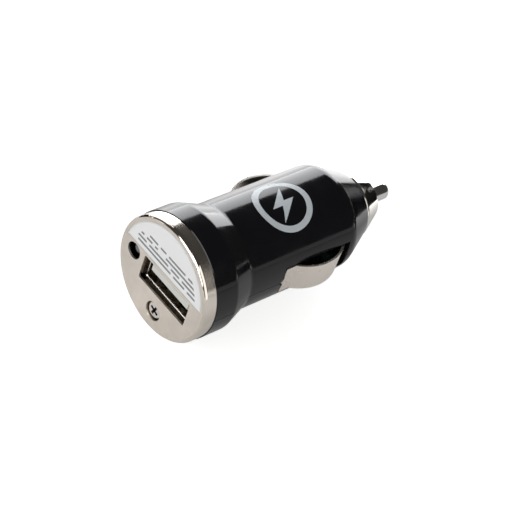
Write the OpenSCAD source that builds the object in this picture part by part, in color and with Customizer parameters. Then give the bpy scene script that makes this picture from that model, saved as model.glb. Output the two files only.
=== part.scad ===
// Car USB charger: a small bullet-shaped plug for the 12 V socket of a car.
// The plug's axis is Y. The front face lies in the plane y = 0 and the centre
// pin points along +Y. Z is up, the label is on the upper half of the face.
// Millimetres throughout.

/* [Housing] */
// Diameter of the flange that stays outside the car's socket
flange_d = 24.3; // [23.8:0.1:26]
// Diameter of the barrel that goes into the socket
barrel_d = 20.6; // [20.4:0.1:20.8]
// Front face to the end of the flange's straight part
flange_end = 7.5; // [7:0.1:9]
// Length of the neck that narrows the flange to the barrel
neck_l = 4.9; // [3:0.1:6]
// Rounding where the flange turns into the neck
flange_round = 2; // [0.8:0.1:3]
// Rounding where the neck runs into the barrel
neck_round = 2.6; // [1:0.1:4]
// Length of the straight barrel behind the neck
barrel_l = 25.8; // [25:0.2:34]
// Rounding where the barrel turns into the shoulder
shoulder_round = 3.5; // [1:0.1:5]
// Length of the tapered shoulder
shoulder_l = 6.8; // [6.6:0.1:9]
// Diameter of the shoulder where it meets the nose ring
shoulder_tip_d = 13.6; // [13.2:0.1:14.6]
// Wall of the two moulded shells
wall = 1; // [0.9:0.05:1.05]
// Width and depth of the groove that the two shells leave where they meet
seam = 0.1; // [0.06:0.02:0.2]

/* [Face cap] */
// Step from the flange's side in to the drawn cap's side
cap_step = 0.15; // [0.1:0.05:0.3]
// Depth of the cap from the face to its rim
cap_depth = 2.7; // [2.4:0.1:3.2]
// Thickness of the cap's sheet
cap_sheet = 0.4; // [0.35:0.01:0.45]
// Outer radius of the cap's rounded edge
cap_edge = 0.7; // [0.5:0.05:0.9]

/* [Face label] */
// Radius of the label's round side
label_r = 10.9; // [10:0.1:11]
// Height of the label's straight side above the axis
label_chord = 2.05; // [1.9:0.05:3]
// Thickness of the label and depth of its recess
label_t = 0.12; // [0.08:0.01:0.15]
// Gap between the label and the edge of its recess
label_gap = 0.08; // [0.05:0.01:0.15]

/* [Face screw] */
// Screw centre to the right of the axis
screw_x = 0.5; // [0:0.1:1]
// Screw centre in from the cap's edge
screw_in = 4.25; // [4.1:0.05:4.4]
// Diameter of the screw's head
screw_head_d = 3.6; // [3.2:0.1:3.7]
// Height of the screw's head
screw_head_h = 0.9; // [0.7:0.05:1]
// Diameter of the screw's shank
screw_d = 2; // [1.8:0.1:2.2]
// Length of the shank under the head
screw_l = 6.5; // [5:0.25:7.5]
// Outer diameter of the boss that takes the screw
boss_d = 4.2; // [4:0.1:4.3]

/* [USB socket] */
// Width of the slot in the face
slot_w = 13.2; // [13.1:0.05:13.4]
// Height of the slot in the face
slot_h = 5.45; // [5.4:0.05:5.6]
// Slot centre to the right of the axis
slot_x = 1.4; // [1.2:0.1:1.5]
// Slot centre below the axis
slot_drop = 1.3; // [1.2:0.05:1.4]
// Outer width of the metal shell
shell_w = 13.1; // [12.9:0.05:13.1]
// Outer height of the metal shell
shell_h = 5.72; // [5.6:0.02:5.76]
// Length of the metal shell
shell_l = 14; // [13.5:0.1:14.5]
// Sheet of the metal shell
shell_sheet = 0.3; // [0.25:0.01:0.32]
// Sideways offset of the shell from the slot's centre
shell_shift = 0.2; // [0:0.05:0.25]
// Length of the flared lips at the shell's mouth
lip_l = 0.7; // [0.4:0.1:0.9]
// How far the lips flare outwards
lip_flare = 0.3; // [0.1:0.05:0.4]
// Width of the plastic tongue
tongue_w = 11; // [10.6:0.1:11.1]
// Thickness of the plastic tongue
tongue_t = 1.84; // [1.7:0.02:1.95]
// Height of the tongue's middle above the shell's middle
tongue_rise = 0.6; // [0.5:0.05:0.9]
// Front face to the end of the tongue
tongue_set = 1.1; // [0.9:0.1:1.6]
// Length of the plastic block that closes the shell's back
block_l = 4.4; // [4:0.1:5]

/* [Side contacts] */
// Width of each spring contact
leaf_w = 5.9; // [5.4:0.1:6]
// Thickness of the spring strip
leaf_t = 0.4; // [0.3:0.05:0.45]
// Front face to the fold of each contact
leaf_start = 20.9; // [20.7:0.1:21.2]
// Length of the flat pad behind the fold
leaf_pad = 2.3; // [2:0.1:2.8]
// Length of the bow from the pad to where it dips under the barrel's skin
bow_l = 12.1; // [11.5:0.1:12.5]
// Height of the bow above the pad
bow_h = 2.05; // [1.5:0.05:2.2]
// Half the thickness by which the flat strip is sunk in the round barrel
leaf_sink = 0.3; // [0.25:0.01:0.35]
// Free end beyond the bow
leaf_end = 0.7; // [0.5:0.05:0.8]
// Depth of the anchor leg below the pad
leg_depth = 3; // [2.8:0.1:3.2]
// Width of the anchor leg
leg_w = 3.6; // [3:0.1:4.2]
// Gap round each contact in its opening
leaf_gap = 0.2; // [0.15:0.05:0.3]
// Length of the two tines at the front of each contact
tine_l = 0.6; // [0.4:0.1:0.8]
// Width of each tine
tine_w = 0.3; // [0.25:0.05:0.4]
// Distance between the two tines' middles
tine_pitch = 0.8; // [0.7:0.05:1]
// Room past the free end for the strip to move forward
leaf_room = 0.9; // [0.8:0.1:1.2]
// Largest swing of a contact, in degrees
leaf_swing = 12; // [8:1:12]

/* [Nose ring] */
// Diameter of the ring's rounded base
ring_d = 13.3; // [12.8:0.1:13.5]
// Length of the cone in front of the base
ring_l = 5.4; // [5:0.1:6]
// Diameter of the cone's end
ring_tip_d = 8.3; // [7.8:0.1:8.8]
// Diameter of the spigot held between the shells
spigot_d = 9.8; // [9.4:0.1:10]
// Length of the spigot
spigot_l = 2.8; // [2.6:0.1:3]
// Diameter of the collar that locks the spigot
collar_d = 11.2; // [11:0.1:11.4]
// Thickness of that collar
collar_t = 0.8; // [0.7:0.05:0.9]
// Thickness of the ring's front wall
ring_front = 1.3; // [1:0.1:1.6]

/* [Centre pin] */
// Diameter of the pin
pin_d = 3.5; // [3.3:0.05:3.6]
// Length of the pin that stands out of the ring at rest
pin_out = 5.8; // [5.4:0.1:6.4]
// Rounding of the pin's end
pin_round = 1; // [0.6:0.1:1.2]
// Diameter of the pin's head inside the ring
pin_head_d = 6.2; // [5.8:0.1:6.3]
// Thickness of the pin's head
pin_head_t = 1.1; // [0.9:0.1:1.3]
// Travel of the pin into the plug
pin_travel = 2.2; // [1.5:0.1:2.4]
// Radial clearance of the pin and its head in the ring
pin_gap = 0.05; // [0.03:0.01:0.08]

/* [Tip spring] */
// Wire of the coil spring behind the pin
spring_wire = 0.45; // [0.35:0.05:0.5]
// Mean diameter of the coil
spring_d = 4.6; // [4.2:0.1:4.8]
// Number of turns
spring_turns = 5; // [4:1:6]

/* [Circuit board] */
// Thickness of the board
board_t = 1; // [0.8:0.05:1.1]
// Gap between the board's long edges and the barrel's bore
board_side = 0.43; // [0.3:0.01:0.9]
// Gap between the board's long edges and the bore of the flange
board_front_side = 0.5; // [0.4:0.05:0.8]
// Front face to the board's near edge
board_start = 2.2; // [2:0.1:2.6]
// Clearance between the board's far edge and the bulkhead
board_gap = 0.3; // [0.2:0.05:0.5]
// Thickness of the ribs and the bulkhead
rib_t = 1.2; // [1:0.1:1.4]

/* [Indicator lamp] */
// Diameter of the lamp's hole in the face
lamp_hole_d = 3.4; // [3.3:0.05:3.6]
// Lamp centre in from the cap's edge
lamp_in = 3.95; // [3.9:0.05:4.1]
// Lamp centre below the axis
lamp_drop = 0.1; // [0:0.05:0.3]
// Diameter of the lamp's lens
lamp_d = 3; // [2.9:0.05:3.1]
// Front face to the top of the lens
lamp_set = 0.7; // [0.5:0.1:1]
// Diameter of the lamp's wires
lamp_wire_d = 0.5; // [0.4:0.05:0.6]

/* [Hidden] */
$fn = 72;
// Clearance between pieces that are pushed together
fit_gap = 0.05;
// Depth that a cut runs past a face
over = 0.5;
// Steps in one rounded corner
round_steps = 8;

flange_r = flange_d / 2;
barrel_r = barrel_d / 2;
bore_r = barrel_r - wall;
barrel_start = flange_end + neck_l;
barrel_end = barrel_start + barrel_l;
shoulder_end = barrel_end + shoulder_l;
shoulder_tip_r = shoulder_tip_d / 2;

cap_r = flange_r - cap_step;
cap_inner_r = cap_r - cap_sheet;
lip_r = cap_inner_r - fit_gap;
lip_start = cap_edge + fit_gap * 2;
front_bore_r = lip_r - wall;

screw_z = screw_in - cap_r;
dimple_depth = screw_head_h + 0.35;
dimple_r = screw_head_d / 2 + 0.15;
boss_start = dimple_depth + cap_sheet;
boss_depth = screw_l - cap_sheet + 0.6;
boss_end = boss_start + boss_depth + 0.8;

slot_z = -slot_drop;
usb_x = slot_x + shell_shift;
usb_start = cap_sheet;
usb_end = usb_start + shell_l;
tongue_z = slot_z + tongue_rise;
block_start = usb_end - block_l;
leg_usb_y = 7.6;
leg_usb_w = 1.8;
contact_x = [-3.5, -1, 1, 3.5];
tail_out = 0.7;

board_top = slot_z - shell_h / 2;
board_bottom = board_top - board_t;
board_step = flange_end + 0.2;
board_w = 2 * (sqrt(pow(bore_r, 2) - pow(board_bottom, 2)) - board_side);
board_front_w = 2 * (sqrt(pow(front_bore_r, 2) - pow(board_bottom, 2)) - board_front_side);

leaf_x = barrel_r - leaf_sink;
leaf_bow_start = leaf_start + leaf_pad;
leaf_bow_end = leaf_bow_start + bow_l;
leaf_tip_y = leaf_bow_end + leaf_end;
opening_w = leaf_w + 2 * leaf_gap;
opening_start = leaf_start - leaf_gap;
opening_end = leaf_tip_y + leaf_room;
bow_r = (pow(bow_l / 2, 2) + pow(bow_h, 2)) / (2 * bow_h);
bow_angle = asin(bow_l / 2 / bow_r);
leaf_dip = leaf_end * tan(bow_angle);
leg_x = leaf_x - leg_depth;

bulkhead_start = opening_end + 1.5;
bulkhead_end = bulkhead_start + rib_t;
board_end = bulkhead_start - board_gap;

ring_start = shoulder_end;
ring_end = ring_start + ring_l;
spigot_start = ring_start - spigot_l;
collar_start = spigot_start + 0.7;
ring_bore_r = pin_head_d / 2 + pin_gap;
pin_r = pin_d / 2;
pin_end = ring_end + pin_out;
head_end = ring_end - ring_front;
head_start = head_end - pin_head_t;
stub_r = spring_d / 2 - spring_wire / 2 - 0.2;
stub_gap = 0.5;

seat_t = 0.5;
seat_start = bulkhead_end;
seat_end = seat_start + seat_t;
seat_r = ring_bore_r - 0.1;
spring_l = head_start - seat_end;
stub_l = spring_l - pin_travel - stub_gap;

// Locating pins between the shells, and their bosses
locator_x = bore_r - 1.25;
locator_y = (usb_end + leaf_start) / 2;
locator_r = 0.6;
locator_l = 1.6;
locator_boss_r = 1.35;

// Ribs under the board, and posts above it
board_rib_near = usb_end + 0.6;
board_rib_far = opening_end - 1.6;
rib_window = 7.4;
post_t = 1.2;
front_post_x = bore_r - 2;
rear_post_x = bore_r - 3.6;
post_rise = 1;

// Tail of the spring's seat
tail_w = 2.4;
tail_t = 0.4;

// Indicator lamp and where its wires meet the board
lamp_x = cap_r - lamp_in;
lamp_body_l = 4.6;
lamp_base = lamp_set + lamp_body_l;
lamp_pitch = 2.54;
lamp_bend = 1.2;
lamp_step = 1.1;

// Storage coil, on the side away from the socket
coil_y = (usb_end + opening_start) / 2 + 0.3;
coil_x = -2.4;
coil_r = 2.9;
coil_h = 4.2;
coil_flange = 0.8;

// Lying capacitors and their wires
can_l = 10;
can_gap = 0.55;
can_between = 0.75;
can_reach = leaf_x - leaf_t - (leaf_tip_y - leaf_start) * sin(leaf_swing) - can_gap - leaf_dip;
can_r = (can_reach - can_between / 2) / 2;
can_x = can_reach - can_r;
can_set = 2.6;
can_start = leaf_start + can_set;
can_end = can_start + can_l;
can_lead = 1;
can_lead_out = 0.9;

// Direction of a vector
function unit(v) = v / norm(v);

// Points of an arc of radius r that rounds the corner b between a and c
function corner(a, b, c, r) = let (
        u = unit(a - b),
        v = unit(c - b),
        half = acos(u * v) / 2,
        centre = b + unit(u + v) * r / sin(half),
        start = b + u * r / tan(half) - centre,
        finish = b + v * r / tan(half) - centre,
        from = atan2(start[1], start[0]),
        turn = atan2(start[0] * finish[1] - start[1] * finish[0], start * finish)
    ) [for (i = [0:round_steps]) let (w = from + turn * i / round_steps) centre + r * [cos(w), sin(w)]];

// Turns points given as [distance along the plug, radius] about the axis
module turned(points) {
    rotate([-90, 0, 0]) rotate_extrude() polygon([for (p = points) [p[1], p[0]]]);
}

// Pushes a flat shape, drawn in X and Z, along the plug from y0 to y1
module along(y0, y1) {
    translate([0, y1, 0]) rotate([90, 0, 0]) linear_extrude(y1 - y0) children();
}

// A rectangle in X and Z about its centre, with rounded corners
module slab(w, h, r) {
    if (r > 0) {
        square([w - 2 * r, h], center = true);
        square([w, h - 2 * r], center = true);
        for (x = [-1, 1], z = [-1, 1]) translate([x * (w / 2 - r), z * (h / 2 - r)]) circle(r);
    } else square([w, h], center = true);
}

// Outside of both shells as one turned solid, smaller all round by an inset
module housing_outside(inset = 0) {
    flange_edge = [flange_end, flange_r - inset];
    neck_foot = [barrel_start, barrel_r - inset];
    shoulder_top = [barrel_end, barrel_r - inset];
    shoulder_tip = [shoulder_end, shoulder_tip_r - inset];
    turned(concat(
        [[lip_start, 0], [lip_start, lip_r - inset], [cap_depth, lip_r - inset],
            [cap_depth, flange_r - inset - 0.15], [cap_depth + 0.15, flange_r - inset]],
        corner([cap_depth, flange_r - inset], flange_edge, neck_foot, flange_round),
        corner(flange_edge, neck_foot, shoulder_top, neck_round),
        corner(neck_foot, shoulder_top, shoulder_tip, shoulder_round),
        [shoulder_tip - [0.2, -0.1], shoulder_tip - [0, 0.2], [shoulder_end, 0]]
    ));
}

// Groove along the line where the shells meet
module seam_groove() {
    difference() {
        translate([-flange_d, cap_depth, -seam / 2])
            cube([2 * flange_d, shoulder_end - cap_depth + over, seam]);
        housing_outside(seam);
    }
}

// Hollow of both shells, from the open front to the bulkhead, with a pocket round the socket
module housing_hollow() {
    translate([usb_x, 0, slot_z]) along(lip_start, usb_end + 0.1)
        slab(shell_w + 2 * fit_gap, shell_h + 2 * fit_gap, 0.55);
    turned([
        [lip_start - over, 0], [lip_start - over, front_bore_r], [flange_end - 0.8, front_bore_r],
        [barrel_start, bore_r], [opening_end + 0.2, bore_r], [bulkhead_start, bore_r - 0.3],
        [bulkhead_start, 0]
    ]);
}

// Seat of the nose ring, its collar, the spring and its seat between the shells
module nose_seat() {
    turned([
        [seat_start, 0], [seat_start, seat_r + fit_gap], [spigot_start, seat_r + fit_gap],
        [spigot_start, spigot_d / 2 + fit_gap],
        [collar_start - fit_gap, spigot_d / 2 + fit_gap], [collar_start - fit_gap, collar_d / 2 + fit_gap],
        [collar_start + collar_t + fit_gap, collar_d / 2 + fit_gap],
        [collar_start + collar_t + fit_gap, spigot_d / 2 + fit_gap],
        [shoulder_end + over, spigot_d / 2 + fit_gap], [shoulder_end + over, 0]
    ]);
}

// Slot in the bulkhead for the tail of the spring's seat
module tail_slot() {
    translate([-tail_w / 2 - fit_gap, bulkhead_start - over, board_top - fit_gap])
        cube([tail_w + 2 * fit_gap, rib_t + over + fit_gap, tail_t + 2 * fit_gap]);
    translate([-tail_w / 2 - fit_gap, seat_start, board_top - fit_gap])
        cube([tail_w + 2 * fit_gap, seat_t + fit_gap, -board_top]);
}

// Opening in the barrel's wall for one side contact
module contact_opening(side) {
    x_in = bore_r - 1.2;
    notch_w = tine_pitch + tine_w + leaf_gap;
    translate([side > 0 ? x_in : -barrel_r - over, opening_start, -opening_w / 2])
        cube([barrel_r + over - x_in, opening_end - opening_start, opening_w]);
    translate([side > 0 ? x_in : -barrel_r - over, opening_start - tine_l, -notch_w / 2])
        cube([barrel_r + over - x_in, tine_l + fit_gap, notch_w]);
}

// One half space, the upper one for side = 1
module half_space(side) {
    big = flange_d * 3;
    translate([-big / 2, -over * 4, side > 0 ? 0 : -big]) cube([big, pin_end + over * 8, big]);
}

// Locating pins of the upper shell, or their holes for grow > 0
module locating_pins(grow) {
    for (x = [-1, 1]) translate([x * locator_x, locator_y, -locator_l - (grow > 0 ? 0.2 : 0)])
        cylinder(h = locator_l + (grow > 0 ? 0.2 : 0), r = locator_r + grow);
}

// Stretch of the barrel's bore, grown half way into its wall
module bore_stretch(y0, y1) {
    turned([[y0, 0], [y0, bore_r + wall / 2], [y1, bore_r + wall / 2], [y1, 0]]);
}

// Bosses round the locating pins, grown into the wall
module locator_bosses(side) {
    intersection() {
        bore_stretch(usb_end, leaf_start);
        for (x = [-1, 1]) translate([x * locator_x, locator_y, side > 0 ? 0 : -locator_l - 1]) {
            cylinder(h = locator_l + 1, r = locator_boss_r);
            translate([x > 0 ? 0 : -2.5, -locator_boss_r, 0])
                cube([2.5, 2 * locator_boss_r, locator_l + 1]);
        }
    }
}

// Half of the skin, open at the front, with the seats of the nose ring and the side contacts
module shell_common(side) {
    difference() {
        intersection() {
            housing_outside();
            half_space(side);
        }
        housing_hollow();
        nose_seat();
        for (s = [-1, 1]) contact_opening(s);
        seam_groove();
    }
}

// Upper shell: half the skin, the locating pins and the posts that press on the board
module housing_upper() {
    color("#15161a") {
        difference() {
            union() {
                shell_common(1);
                locator_bosses(1);
            }
            tail_slot();
        }
        locating_pins(0);
        board_posts();
    }
}

// Posts of the upper shell that press the board on its ribs
module board_posts() {
    intersection() {
        bore_stretch(usb_end, bulkhead_end);
        for (x = [-1, 1]) {
            translate([x * front_post_x - post_t / 2, board_rib_near, board_top])
                cube([post_t, rib_t, barrel_r - board_top]);
            translate([x * rear_post_x - post_t / 2, bulkhead_start - rib_t, board_top])
                cube([post_t, rib_t, post_rise - board_top]);
        }
    }
}

// Rib across the lower shell that carries the board
module board_rib(y) {
    intersection() {
        bore_stretch(y, y + rib_t);
        translate([-barrel_r, y, -barrel_r * 2]) cube([barrel_d, rib_t, barrel_r * 2 + board_bottom]);
        difference() {
            translate([-barrel_r, y, -barrel_r * 2]) cube([barrel_d, rib_t, barrel_r * 2]);
            translate([-rib_window / 2, y - over, -barrel_r * 2])
                cube([rib_window, rib_t + 2 * over, barrel_r * 2]);
        }
    }
}

// Lower shell: half the skin, the screw boss, the ribs and the holes for the locating pins
module housing_lower() {
    color("#15161a") difference() {
        union() {
            shell_common(-1);
            locator_bosses(-1);
            for (y = [board_rib_near, board_rib_far]) board_rib(y);
            intersection() {
                union() {
                    translate([screw_x, 0, screw_z]) along(boss_start, boss_end) circle(boss_d / 2);
                    translate([screw_x - boss_d / 2, boss_start, screw_z - boss_d])
                        cube([boss_d, boss_end - boss_start, boss_d]);
                }
                turned([[lip_start, 0], [lip_start, lip_r - wall / 2], [flange_end, lip_r - wall / 2],
                    [barrel_start, bore_r + wall / 2], [boss_end, bore_r + wall / 2], [boss_end, 0]]);
            }
        }
        tail_slot();
        locating_pins(fit_gap);
        translate([screw_x - boss_d, boss_start - over, board_bottom - fit_gap])
            cube([2 * boss_d, boss_depth + 1.8, board_t]);
        translate([screw_x, 0, screw_z]) along(boss_start - over, boss_start + boss_depth)
            circle(screw_d / 2 + 0.03);
    }
}

// Front cap: drawn cup with the slot, the lamp's hole, the label's recess and the screw's dimple
module face_cap() {
    inner_edge = max(cap_edge - cap_sheet, 0.1);
    color("#c9bfb4") difference() {
        union() {
            turned(concat(
                [[0, 0]],
                corner([0, 0], [0, cap_r], [cap_depth, cap_r], cap_edge),
                [[cap_depth, cap_r], [cap_depth, cap_inner_r]],
                corner([cap_depth, cap_inner_r], [cap_sheet, cap_inner_r], [cap_sheet, 0], inner_edge),
                [[cap_sheet, 0]]
            ));
            translate([screw_x, 0, screw_z]) along(cap_sheet / 2, boss_start)
                circle(dimple_r + cap_sheet);
        }
        translate([slot_x, 0, slot_z]) along(-over, cap_sheet + over) slab(slot_w, slot_h, 0.3);
        translate([-lamp_x, 0, -lamp_drop]) along(-over, cap_sheet + over) circle(lamp_hole_d / 2);
        along(-over, label_t) label_shape(label_gap);
        translate([screw_x, 0, screw_z]) {
            along(-over, dimple_depth) circle(dimple_r);
            along(0, boss_start + over) circle(screw_d / 2 + 0.2);
        }
    }
}

// Outline of the label, a round segment, grown by a gap
module label_shape(gap) {
    intersection() {
        circle(label_r + gap);
        translate([-label_r * 1.5, label_chord - gap]) square([label_r * 3, label_r * 2]);
    }
}

// Stick-on rating label, left without print
module face_label() {
    color("#e6e7ea") along(0, label_t) label_shape(0);
}

// Cross-head screw that holds the cap on the lower shell
module face_screw() {
    head_top = dimple_depth - screw_head_h;
    head_r = screw_head_d / 2;
    recess_w = 0.55;
    recess_l = 2.1;
    color("#d8d2c8") translate([screw_x, 0, screw_z]) rotate([0, 20, 0]) difference() {
        union() {
            turned(concat(
                [[head_top, 0]],
                corner([head_top, 0], [head_top, head_r], [dimple_depth, head_r], 0.45),
                [[dimple_depth, head_r], [dimple_depth, screw_d / 2],
                    [dimple_depth + screw_l - 1, screw_d / 2], [dimple_depth + screw_l, 0.25],
                    [dimple_depth + screw_l, 0]]
            ));
        }
        for (w = [0, 90]) rotate([0, w, 0])
            translate([-recess_l / 2, head_top - over, -recess_w / 2])
                cube([recess_l, over + 0.6, recess_w]);
    }
}

// Turned and plated nose ring with its spigot, collar and bore for the pin
module nose_ring() {
    base_r = ring_d / 2;
    tip_r = ring_tip_d / 2;
    color("#b9bcc0") turned(concat(
        [[spigot_start, ring_bore_r], [spigot_start, spigot_d / 2], [collar_start, spigot_d / 2],
            [collar_start, collar_d / 2], [collar_start + collar_t, collar_d / 2],
            [collar_start + collar_t, spigot_d / 2], [ring_start, spigot_d / 2]],
        corner([ring_start, 0], [ring_start, base_r], [ring_start + 0.7, base_r], 0.3),
        [[ring_start + 0.55, base_r]],
        corner([ring_start + 0.55, base_r], [ring_end, tip_r], [ring_end, 0], 0.5),
        [[ring_end, pin_r + pin_gap], [head_end, pin_r + pin_gap], [head_end, ring_bore_r]]
    ));
}

// Centre contact: round-ended pin, head and the stub that guides the spring
module centre_pin() {
    color("#c4c7ca") turned(concat(
        [[head_start - stub_l, 0], [head_start - stub_l, stub_r - 0.3], [head_start - stub_l + 0.3, stub_r],
            [head_start, stub_r], [head_start, pin_head_d / 2], [head_end, pin_head_d / 2],
            [head_end, pin_r]],
        corner([head_end, pin_r], [pin_end, pin_r], [pin_end, 0], pin_round),
        [[pin_end, 0]]
    ));
}

// One ring of points round the spring's wire at turn angle w
function wire_ring(w, sides) = let (
        y = seat_end + spring_wire / 2 + (spring_l - spring_wire) * w / (360 * spring_turns)
    ) [for (i = [0:sides - 1]) let (
        a = 360 * i / sides,
        r = spring_d / 2 + spring_wire / 2 * cos(a)
    ) [r * cos(w), y + spring_wire / 2 * sin(a), r * sin(w)]];

// Coil spring that pushes the pin out
module tip_spring() {
    sides = 8;
    per_turn = 18;
    rings = spring_turns * per_turn;
    points = [for (k = [0:rings]) each wire_ring(360 * k / per_turn, sides)];
    walls = [for (k = [0:rings - 1], i = [0:sides - 1]) let (j = (i + 1) % sides)
        [k * sides + i, k * sides + j, (k + 1) * sides + j, (k + 1) * sides + i]];
    ends = [[for (i = [sides - 1:-1:0]) i], [for (i = [0:sides - 1]) rings * sides + i]];
    color("#a8abad") polyhedron(points, concat(walls, ends));
}

// Brass plate that the spring stands on, with its tail soldered to the board
module spring_seat() {
    tail_l = 2.6;
    color("#c9a54c") {
        turned([[seat_start, 0], [seat_start, seat_r], [seat_end, seat_r], [seat_end, 0]]);
        translate([-tail_w / 2, seat_start, board_top]) cube([tail_w, seat_t, -board_top]);
        translate([-tail_w / 2, seat_end - rib_t - board_gap - tail_l, board_top])
            cube([tail_w, rib_t + board_gap + tail_l, tail_t]);
    }
}

// Outline of a spring contact in X and Y: anchor leg, pad, bow and free end
function leaf_outline() = let (
        crest_centre = [leaf_x + bow_h - bow_r, (leaf_bow_start + leaf_bow_end) / 2],
        steps = 20,
        outer = [for (i = [0:steps]) let (w = bow_angle * (1 - 2 * i / steps))
            crest_centre + bow_r * [cos(w), -sin(w)]],
        inner = [for (i = [0:steps]) let (w = bow_angle * (2 * i / steps - 1))
            crest_centre + (bow_r - leaf_t) * [cos(w), -sin(w)]],
        end_dip = [-sin(bow_angle), cos(bow_angle)] * leaf_end / cos(bow_angle)
    ) concat(
        [[leaf_x, leaf_start]], outer,
        [outer[steps] + end_dip, inner[0] + end_dip], inner,
        [[leaf_x - leaf_t, leaf_bow_start - 0.1], [leaf_x - leaf_t, leaf_start]]
    );

// One bowed spring contact with its leg and its forked front, on the right for side = 1
module side_contact(side) {
    color("#bfb3a5") mirror([side > 0 ? 0 : 1, 0, 0]) {
        translate([0, 0, -leaf_w / 2]) linear_extrude(leaf_w) polygon(leaf_outline());
        translate([leg_x, leaf_start, -leg_w / 2]) cube([leg_depth, leaf_t, leg_w]);
        for (z = [-1, 1]) translate([leaf_x - leaf_t, leaf_start - tine_l, (z * tine_pitch - tine_w) / 2])
            cube([leaf_t, tine_l + leaf_t / 2, tine_w]);
    }
}
module side_contact_left() { side_contact(-1); }
module side_contact_right() { side_contact(1); }

// Clip on the board that takes the current from one contact's leg
module ground_clip(side) {
    clip_w = 2.6;
    clip_t = 0.4;
    clip_x = leg_x - 0.15;
    foot = 1.8;
    color("#b7b9ba") mirror([side > 0 ? 0 : 1, 0, 0]) {
        translate([clip_x - clip_t, leaf_start - clip_w / 2, board_top])
            cube([clip_t, clip_w, leg_w / 2 - board_top]);
        translate([clip_x - foot, leaf_start - clip_w / 2, board_top]) cube([foot, clip_w, clip_t]);
    }
}
module ground_clip_left() { ground_clip(-1); }
module ground_clip_right() { ground_clip(1); }

// Folded metal shell of the socket with its flared lips, springs and solder legs
module usb_shell() {
    inner_w = shell_w - 2 * shell_sheet;
    inner_h = shell_h - 2 * shell_sheet;
    lip_w = inner_w - 1.1;
    side_lip_w = inner_h - 1.3;
    finger_x = 3;
    finger_w = 1.9;
    finger_l = 5.2;
    finger_y = usb_start + 2.2;
    window_w = finger_w + 0.4;
    leg_l = board_t + tail_out;
    color("#b0aba6") translate([usb_x, 0, slot_z]) {
        difference() {
            along(usb_start + lip_l, usb_end) difference() {
                slab(shell_w, shell_h, 0.55);
                slab(inner_w, inner_h, 0.3);
            }
            for (x = [-1, 1], z = [-1, 1]) flip_x(x) flip_z(z)
                translate([finger_x - window_w / 2, finger_y, inner_h / 2 - 0.1])
                    cube([window_w, finger_l + 0.3, shell_sheet + 0.2]);
        }
        for (x = [-1, 1], z = [-1, 1]) flip_x(x) flip_z(z)
            translate([finger_x, 0, 0]) spring_finger(finger_w, finger_l, finger_y, inner_h / 2);
        for (z = [-1, 1]) flip_z(z) lip(lip_w, shell_h / 2);
        for (x = [-1, 1]) flip_x(x) rotate([0, 90, 0]) lip(side_lip_w, shell_w / 2);
        for (x = [-1, 1]) flip_x(x)
            translate([shell_w / 2 - shell_sheet, leg_usb_y - leg_usb_w / 2, -shell_h / 2 - leg_l])
                cube([shell_sheet, leg_usb_w, leg_l + 0.6]);
    }
}
module flip_z(z) { mirror([0, 0, z > 0 ? 0 : 1]) children(); }
module flip_x(x) { mirror([x > 0 ? 0 : 1, 0, 0]) children(); }

// One flared lip on the upper side of the shell's mouth
module lip(w, z) {
    y = usb_start + lip_l;
    rotate([90, 0, 90]) translate([0, 0, -w / 2]) linear_extrude(w) polygon([
        [y + 0.2, z], [y, z], [usb_start, z + lip_flare], [usb_start, z + lip_flare - shell_sheet],
        [y, z - shell_sheet], [y + 0.2, z - shell_sheet]
    ]);
}

// One spring finger cut from the shell's upper wall and bent inwards
module spring_finger(w, l, y, z) {
    bend = 0.35;
    rotate([90, 0, 90]) translate([0, 0, -w / 2]) linear_extrude(w) polygon([
        [y + l + 0.4, z + shell_sheet], [y + l + 0.4, z], [y + 0.8, z - bend], [y + 0.2, z - bend + 0.2],
        [y + 0.2, z - bend + 0.2 + shell_sheet], [y + 0.8, z - bend + shell_sheet]
    ]);
}

// Plastic tongue and block of the socket, with grooves for the four contacts
module usb_tongue() {
    inner_w = shell_w - 2 * shell_sheet - 0.04;
    inner_h = shell_h - 2 * shell_sheet - 0.04;
    nose = 0.25;
    color("#dfe3dd") difference() {
        union() {
            translate([usb_x, 0, tongue_z]) {
                along(tongue_set + nose, block_start + over) square([tongue_w, tongue_t], center = true);
                along(tongue_set, block_start)
                    square([tongue_w - 2 * nose, tongue_t - 2 * nose], center = true);
            }
            translate([usb_x, 0, slot_z]) along(block_start, usb_end - 0.2) slab(inner_w, inner_h, 0.3);
        }
        contact_set(0.03);
    }
}

// The four contact strips, or their grooves for grow > 0
module contact_set(grow) {
    strip_w = 1;
    strip_t = 0.25;
    strip_z = tongue_z - tongue_t / 2;
    back = usb_end + 0.1;
    below = grow > 0 ? over : 0.05;
    for (x = contact_x) translate([usb_x + x - strip_w / 2 - grow, 0, 0]) {
        translate([0, tongue_set + 1.2 - grow, strip_z - below])
            cube([strip_w + 2 * grow, block_start - tongue_set, strip_t + grow + below]);
        translate([0, block_start, strip_z - 0.05 - grow])
            cube([strip_w + 2 * grow, back - block_start + strip_t, strip_t + 0.05 + 2 * grow]);
        if (grow == 0) translate([strip_w / 2 - 0.3, back, board_bottom - tail_out])
            cube([0.6, strip_t, strip_z - board_bottom + tail_out]);
    }
}
module usb_contacts() { color("#c8a960") contact_set(0); }

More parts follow.
